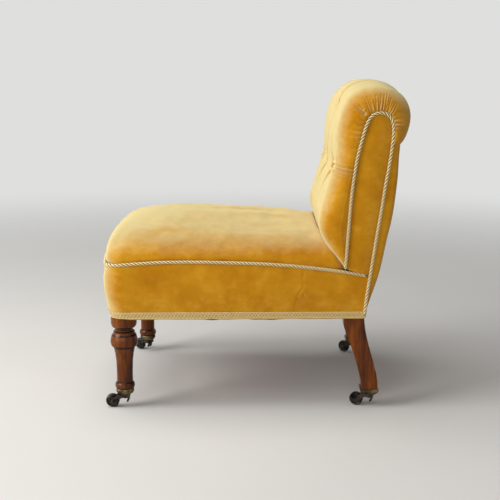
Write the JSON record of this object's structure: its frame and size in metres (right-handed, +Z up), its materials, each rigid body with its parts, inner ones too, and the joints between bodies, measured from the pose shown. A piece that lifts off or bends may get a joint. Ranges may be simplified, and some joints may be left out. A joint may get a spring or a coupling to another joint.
{
  "type": "slipper chair",
  "caption": "Low armless slipper chair in gold velvet with a sprung crowned seat, rolled tufted back, corded side facings, turned front legs, sabre rear legs and swivel castors.",
  "frame": {"origin": "on the floor under the middle of the chair", "axes": "+Z up, the chair faces -Y, the chair's own left side is +X"},
  "size_m": [0.526, 0.7045, 0.7412],
  "materials": {
    "mahogany": "french polished",
    "beech": "raw sawn",
    "velvet": "short pile velvet",
    "cord": "twisted rayon cord",
    "gimp": "woven braid",
    "bottom_cloth": "plain cotton",
    "stuffing": "curled hair and wadding",
    "jute": "woven jute",
    "spring_steel": "coppered wire",
    "screw_steel": "plain",
    "castor_brass": "tarnished",
    "castor_iron": "dark bronzed",
    "castor_wheel": "dark bronzed"
  },
  "bodies": {
    "chair": {"front_leg_left": "mahogany", "front_leg_right": "mahogany", "rear_leg_left": "mahogany", "rear_leg_right": "mahogany", "front_rail": "beech", "rear_rail": "beech", "side_rail_left": "beech", "side_rail_right": "beech", "back_lower_rail": "beech", "crest_rail": "beech", "corner_blocks": "beech", "frame_dowels": "beech", "frame_screws": "screw_steel", "seat_webbing": "jute", "seat_springs": "spring_steel", "spring_canvas": "jute", "seat_edge_roll": "stuffing", "seat_stuffing": "stuffing", "seat_cover": "velvet", "seat_border": "velvet", "back_webbing": "jute", "back_canvas": "jute", "back_stuffing": "stuffing", "back_cover": "velvet", "back_buttons": "velvet", "side_facing_left": "velvet", "side_facing_right": "velvet", "outside_back_cover": "velvet", "outside_back_wadding": "stuffing", "facing_cord_left": "cord", "facing_cord_right": "cord", "seat_cord": "cord", "gimp_braid": "gimp", "bottoming_cloth": "bottom_cloth", "castor_cup_front_left": "castor_brass", "castor_pin_front_left": "castor_iron", "castor_cup_front_right": "castor_brass", "castor_pin_front_right": "castor_iron", "castor_cup_rear_left": "castor_brass", "castor_pin_rear_left": "castor_iron", "castor_cup_rear_right": "castor_brass", "castor_pin_rear_right": "castor_iron"},
    "horn_front_left": {"castor_horn_front_left": "castor_iron", "castor_axle_front_left": "castor_iron"},
    "wheel_front_left": {"castor_wheel_front_left": "castor_wheel"},
    "horn_front_right": {"castor_horn_front_right": "castor_iron", "castor_axle_front_right": "castor_iron"},
    "wheel_front_right": {"castor_wheel_front_right": "castor_wheel"},
    "horn_rear_left": {"castor_horn_rear_left": "castor_iron", "castor_axle_rear_left": "castor_iron"},
    "wheel_rear_left": {"castor_wheel_rear_left": "castor_wheel"},
    "horn_rear_right": {"castor_horn_rear_right": "castor_iron", "castor_axle_rear_right": "castor_iron"},
    "wheel_rear_right": {"castor_wheel_rear_right": "castor_wheel"}
  },
  "joints": [
    {"name": "swivel_front_left", "type": "hinge", "parent": "chair", "child": "horn_front_left", "pos_m": [0.228, -0.29, 0.0278], "axis": [0, 0, 1], "continuous": true},
    {"name": "roll_front_left", "type": "hinge", "parent": "horn_front_left", "child": "wheel_front_left", "pos_m": [0.228, -0.319, 0.0155], "axis": [1, 0, 0], "continuous": true},
    {"name": "swivel_front_right", "type": "hinge", "parent": "chair", "child": "horn_front_right", "pos_m": [-0.228, -0.29, 0.0278], "axis": [0, 0, 1], "continuous": true},
    {"name": "roll_front_right", "type": "hinge", "parent": "horn_front_right", "child": "wheel_front_right", "pos_m": [-0.24585, -0.31285, 0.0155], "axis": [0.788, -0.6157, 0], "continuous": true},
    {"name": "swivel_rear_left", "type": "hinge", "parent": "chair", "child": "horn_rear_left", "pos_m": [0.213, 0.27, 0.0278], "axis": [0, 0, 1], "continuous": true},
    {"name": "roll_rear_left", "type": "hinge", "parent": "horn_rear_left", "child": "wheel_rear_left", "pos_m": [0.20308, 0.24275, 0.0155], "axis": [0.9397, -0.342, 0], "continuous": true},
    {"name": "swivel_rear_right", "type": "hinge", "parent": "chair", "child": "horn_rear_right", "pos_m": [-0.213, 0.27, 0.0278], "axis": [0, 0, 1], "continuous": true},
    {"name": "roll_rear_right", "type": "hinge", "parent": "horn_rear_right", "child": "wheel_rear_right", "pos_m": [-0.2324, 0.24845, 0.0155], "axis": [0.7431, -0.6691, 0], "continuous": true}
  ]
}
